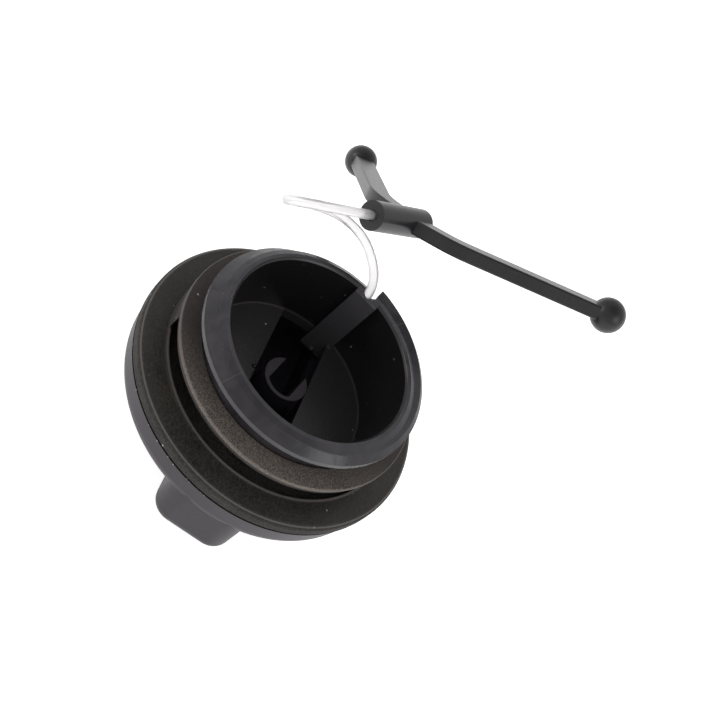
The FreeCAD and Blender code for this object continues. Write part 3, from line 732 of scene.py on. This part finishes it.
def flash_tree(material):
    """A node tree that scatters grains along a ring about the cap's axis."""
    tree = bpy.data.node_groups.new("flash_grains", "GeometryNodeTree")
    for name, value in FLASH_INPUTS.items():
        tree.interface.new_socket(
            name, in_out="INPUT", socket_type="NodeSocketFloat").default_value = value
    tree.interface.new_socket("Geometry", in_out="OUTPUT", socket_type="NodeSocketGeometry")
    given = tree.nodes.new("NodeGroupInput").outputs
    ring = add_node(tree, "GeometryNodeMeshCircle", {
        "Vertices": RING_STEPS, "Radius": given["Radius"]})
    lift = add_node(tree, "ShaderNodeCombineXYZ", {"Z": given["Height"]})
    stray = add_node(tree, "FunctionNodeRandomValue", {
        0: tuple(-value for value in FARTHEST_STRAY), 1: FARTHEST_STRAY, "Seed": SEEDS["stray"]},
        data_type="FLOAT_VECTOR")
    offset = add_node(tree, "ShaderNodeVectorMath", {
        0: lift.outputs["Vector"], 1: stray.outputs[0]}, operation="ADD")
    moved = add_node(tree, "GeometryNodeSetPosition", {
        "Geometry": ring.outputs["Mesh"], "Offset": offset.outputs["Vector"]})
    facing = add_node(tree, "ShaderNodeVectorMath", {
        0: add_node(tree, "GeometryNodeInputPosition").outputs["Position"],
        1: heading(DENSEST)}, operation="DOT_PRODUCT")
    crowd = add_node(tree, "ShaderNodeMapRange", {
        "Value": facing.outputs["Value"], "From Min": CROWD_STARTS, "From Max": CROWD_FULL,
        "To Min": FEWEST_KEPT, "To Max": given["Kept"]})
    keep = add_node(tree, "FunctionNodeRandomValue", {
        "Probability": crowd.outputs["Result"], "Seed": SEEDS["keep"]}, data_type="BOOLEAN")
    grain = add_node(tree, "GeometryNodeMeshIcoSphere", {
        "Radius": given["Grain"], "Subdivisions": 2})
    size = add_node(tree, "FunctionNodeRandomValue", {
        0: LEAST_SIZE, 1: MOST_SIZE, "Seed": SEEDS["size"]}, data_type="FLOAT_VECTOR")
    turn = add_node(tree, "FunctionNodeRandomValue", {
        0: (0.0, 0.0, 0.0), 1: MOST_TURN, "Seed": SEEDS["turn"]}, data_type="FLOAT_VECTOR")
    spread = add_node(tree, "GeometryNodeInstanceOnPoints", {
        "Points": moved.outputs["Geometry"], "Selection": keep.outputs["Value"],
        "Instance": grain.outputs["Mesh"], "Rotation": turn.outputs[0], "Scale": size.outputs[0]})
    real = add_node(tree, "GeometryNodeRealizeInstances", {"Geometry": spread.outputs["Instances"]})
    coated = add_node(tree, "GeometryNodeSetMaterial", {
        "Geometry": real.outputs["Geometry"], "Material": material})
    add_node(tree, "NodeGroupOutput", {"Geometry": coated.outputs["Geometry"]})
    return tree


print("flash inputs", FLASH_INPUTS)

# %% [markdown]
# The tree is set up on an empty mesh, evaluated once and kept as a plain mesh, so that nothing
# depends on the modifier any more. The chips are flat-shaded, because torn plastic has facets.

# %% Flash grains
MOTTLE_MM = 1.5


def pale_flash(name):
    """Chipped plastic in a mottle of grey and pale."""
    material, tree, shader = new_material(name)
    place = add_node(tree, "ShaderNodeTexCoord").outputs["Object"]
    mottle = add_node(tree, "ShaderNodeTexNoise", {"Vector": place, "Scale": 1 / (MOTTLE_MM * MM)})
    tone = add_node(tree, "ShaderNodeMix", {
        "Factor": mottle.outputs["Fac"], "A": srgb("5E5858"), "B": srgb("BDB6B4")},
        data_type="RGBA")
    tree.links.new(tone.outputs["Result"], shader.inputs["Base Color"])
    shader.inputs["Roughness"].default_value = 0.6
    return material


def add_flash():
    """The chips of flash as one plain mesh."""
    source = add_object("flash_source", bpy.data.meshes.new("flash_source"))
    modifier = source.modifiers.new("flash", "NODES")
    modifier.node_group = flash_tree(pale_flash("chipped_pale_flash"))
    for item in modifier.node_group.interface.items_tree:
        if item.in_out == "INPUT":
            modifier[item.identifier] = FLASH_INPUTS[item.name]
    evaluated = source.evaluated_get(bpy.context.evaluated_depsgraph_get())
    mesh = bpy.data.meshes.new_from_object(evaluated)
    bpy.data.objects.remove(source)
    return add_object("flash_grains", mesh)


flash = add_flash()
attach(flash, "cap")
print("flash triangles", len(flash.data.polygons))

# %% [markdown]
# ## Floor
# The photograph is a cut-out on pure white, with no shadow. A white floor under a lamp would stay
# grey in places, so the floor is paper that is also lit from below, as on a light table.

# %% Floor
FLOOR_GLOW = 0.7
FLOOR_HALF = 8.0


def add_floor():
    """A plain white light table under the grip bar."""
    mesh = bpy.data.meshes.new("studio_floor")
    half = FLOOR_HALF
    mesh.from_pydata([(-half, -half, 0), (half, -half, 0), (half, half, 0), (-half, half, 0)], [],
                     [(0, 1, 2, 3)])
    floor = add_object("studio_floor", mesh)
    material, _, shader = new_material("white_light_table")
    shader.inputs["Base Color"].default_value = srgb("FAFAFA")
    shader.inputs["Roughness"].default_value = 0.9
    shader.inputs["Specular IOR Level"].default_value = 0.1
    shader.inputs["Emission Color"].default_value = srgb("FFFFFF")
    shader.inputs["Emission Strength"].default_value = FLOOR_GLOW
    mesh.materials.append(material)


add_floor()
print("floor glow", FLOOR_GLOW)

# %% [markdown]
# ## Soft lights
# The photograph has long soft highlights and no hard glints, as two softboxes beside a product
# table give them. Each is an area light here, small and weak, because most of the light comes from
# the floor and the room.

# %% Soft lights
LIGHT_TARGET = Vector((-0.01, 0.0, 0.02))
# Place, size in metres and power in watts of each light
SOFTBOXES = {
    "softbox_low_left": ((0.0, -0.57, 0.20), 0.12, 0.8),
    "softbox_right": ((0.30, 0.45, 0.40), 0.35, 0.8),
}
for name, (place, size, power) in SOFTBOXES.items():
    data = bpy.data.lights.new(name, "AREA")
    data.size = size
    data.energy = power
    light = add_object(name, data)
    light.location = place
    light.rotation_euler = (LIGHT_TARGET - Vector(place)).to_track_quat("-Z", "Y").to_euler()
print("softboxes", list(SOFTBOXES))

# %% [markdown]
# ## White room
# The room is as white as the floor at the horizon, a little dimmer above and dimmest straight
# overhead. A big lamp on the ceiling would be the usual way, but it whitens all the black plastic.
# With a dim ceiling the flat faces stay dark, the upright ones catch the white floor, and the deep
# inside of the cap is nearly black.

# %% White room
HORIZON_GLOW, ROOM_GLOW, ZENITH_GLOW = 1.0, 0.85, 0.35


def add_room():
    """A white room that is brightest at the horizon and dim overhead."""
    world = bpy.data.worlds.new("white_room")
    bpy.context.scene.world = world
    world.use_nodes = True
    tree = world.node_tree
    background = tree.nodes["Background"]
    way = add_node(tree, "ShaderNodeSeparateXYZ", {
        "Vector": add_node(tree, "ShaderNodeTexCoord").outputs["Generated"]})
    glow = add_node(tree, "ShaderNodeMapRange", {
        "Value": way.outputs["Z"], "From Min": 0.72, "From Max": 1.0,
        "To Min": ROOM_GLOW, "To Max": ZENITH_GLOW})
    edge = add_node(tree, "ShaderNodeMapRange", {
        "Value": way.outputs["Z"], "From Min": 0.10, "From Max": 0.30,
        "To Min": HORIZON_GLOW - ROOM_GLOW, "To Max": 0.0})
    strength = add_node(tree, "ShaderNodeMath", {
        0: glow.outputs["Result"], 1: edge.outputs["Result"]}, operation="ADD")
    tree.links.new(strength.outputs["Value"], background.inputs["Strength"])
    background.inputs["Color"].default_value = srgb("FFFFFF")


add_room()
bpy.context.scene.view_settings.view_transform = "Standard"
print("room", HORIZON_GLOW, "at the horizon,", ROOM_GLOW, "above and", ZENITH_GLOW, "overhead")
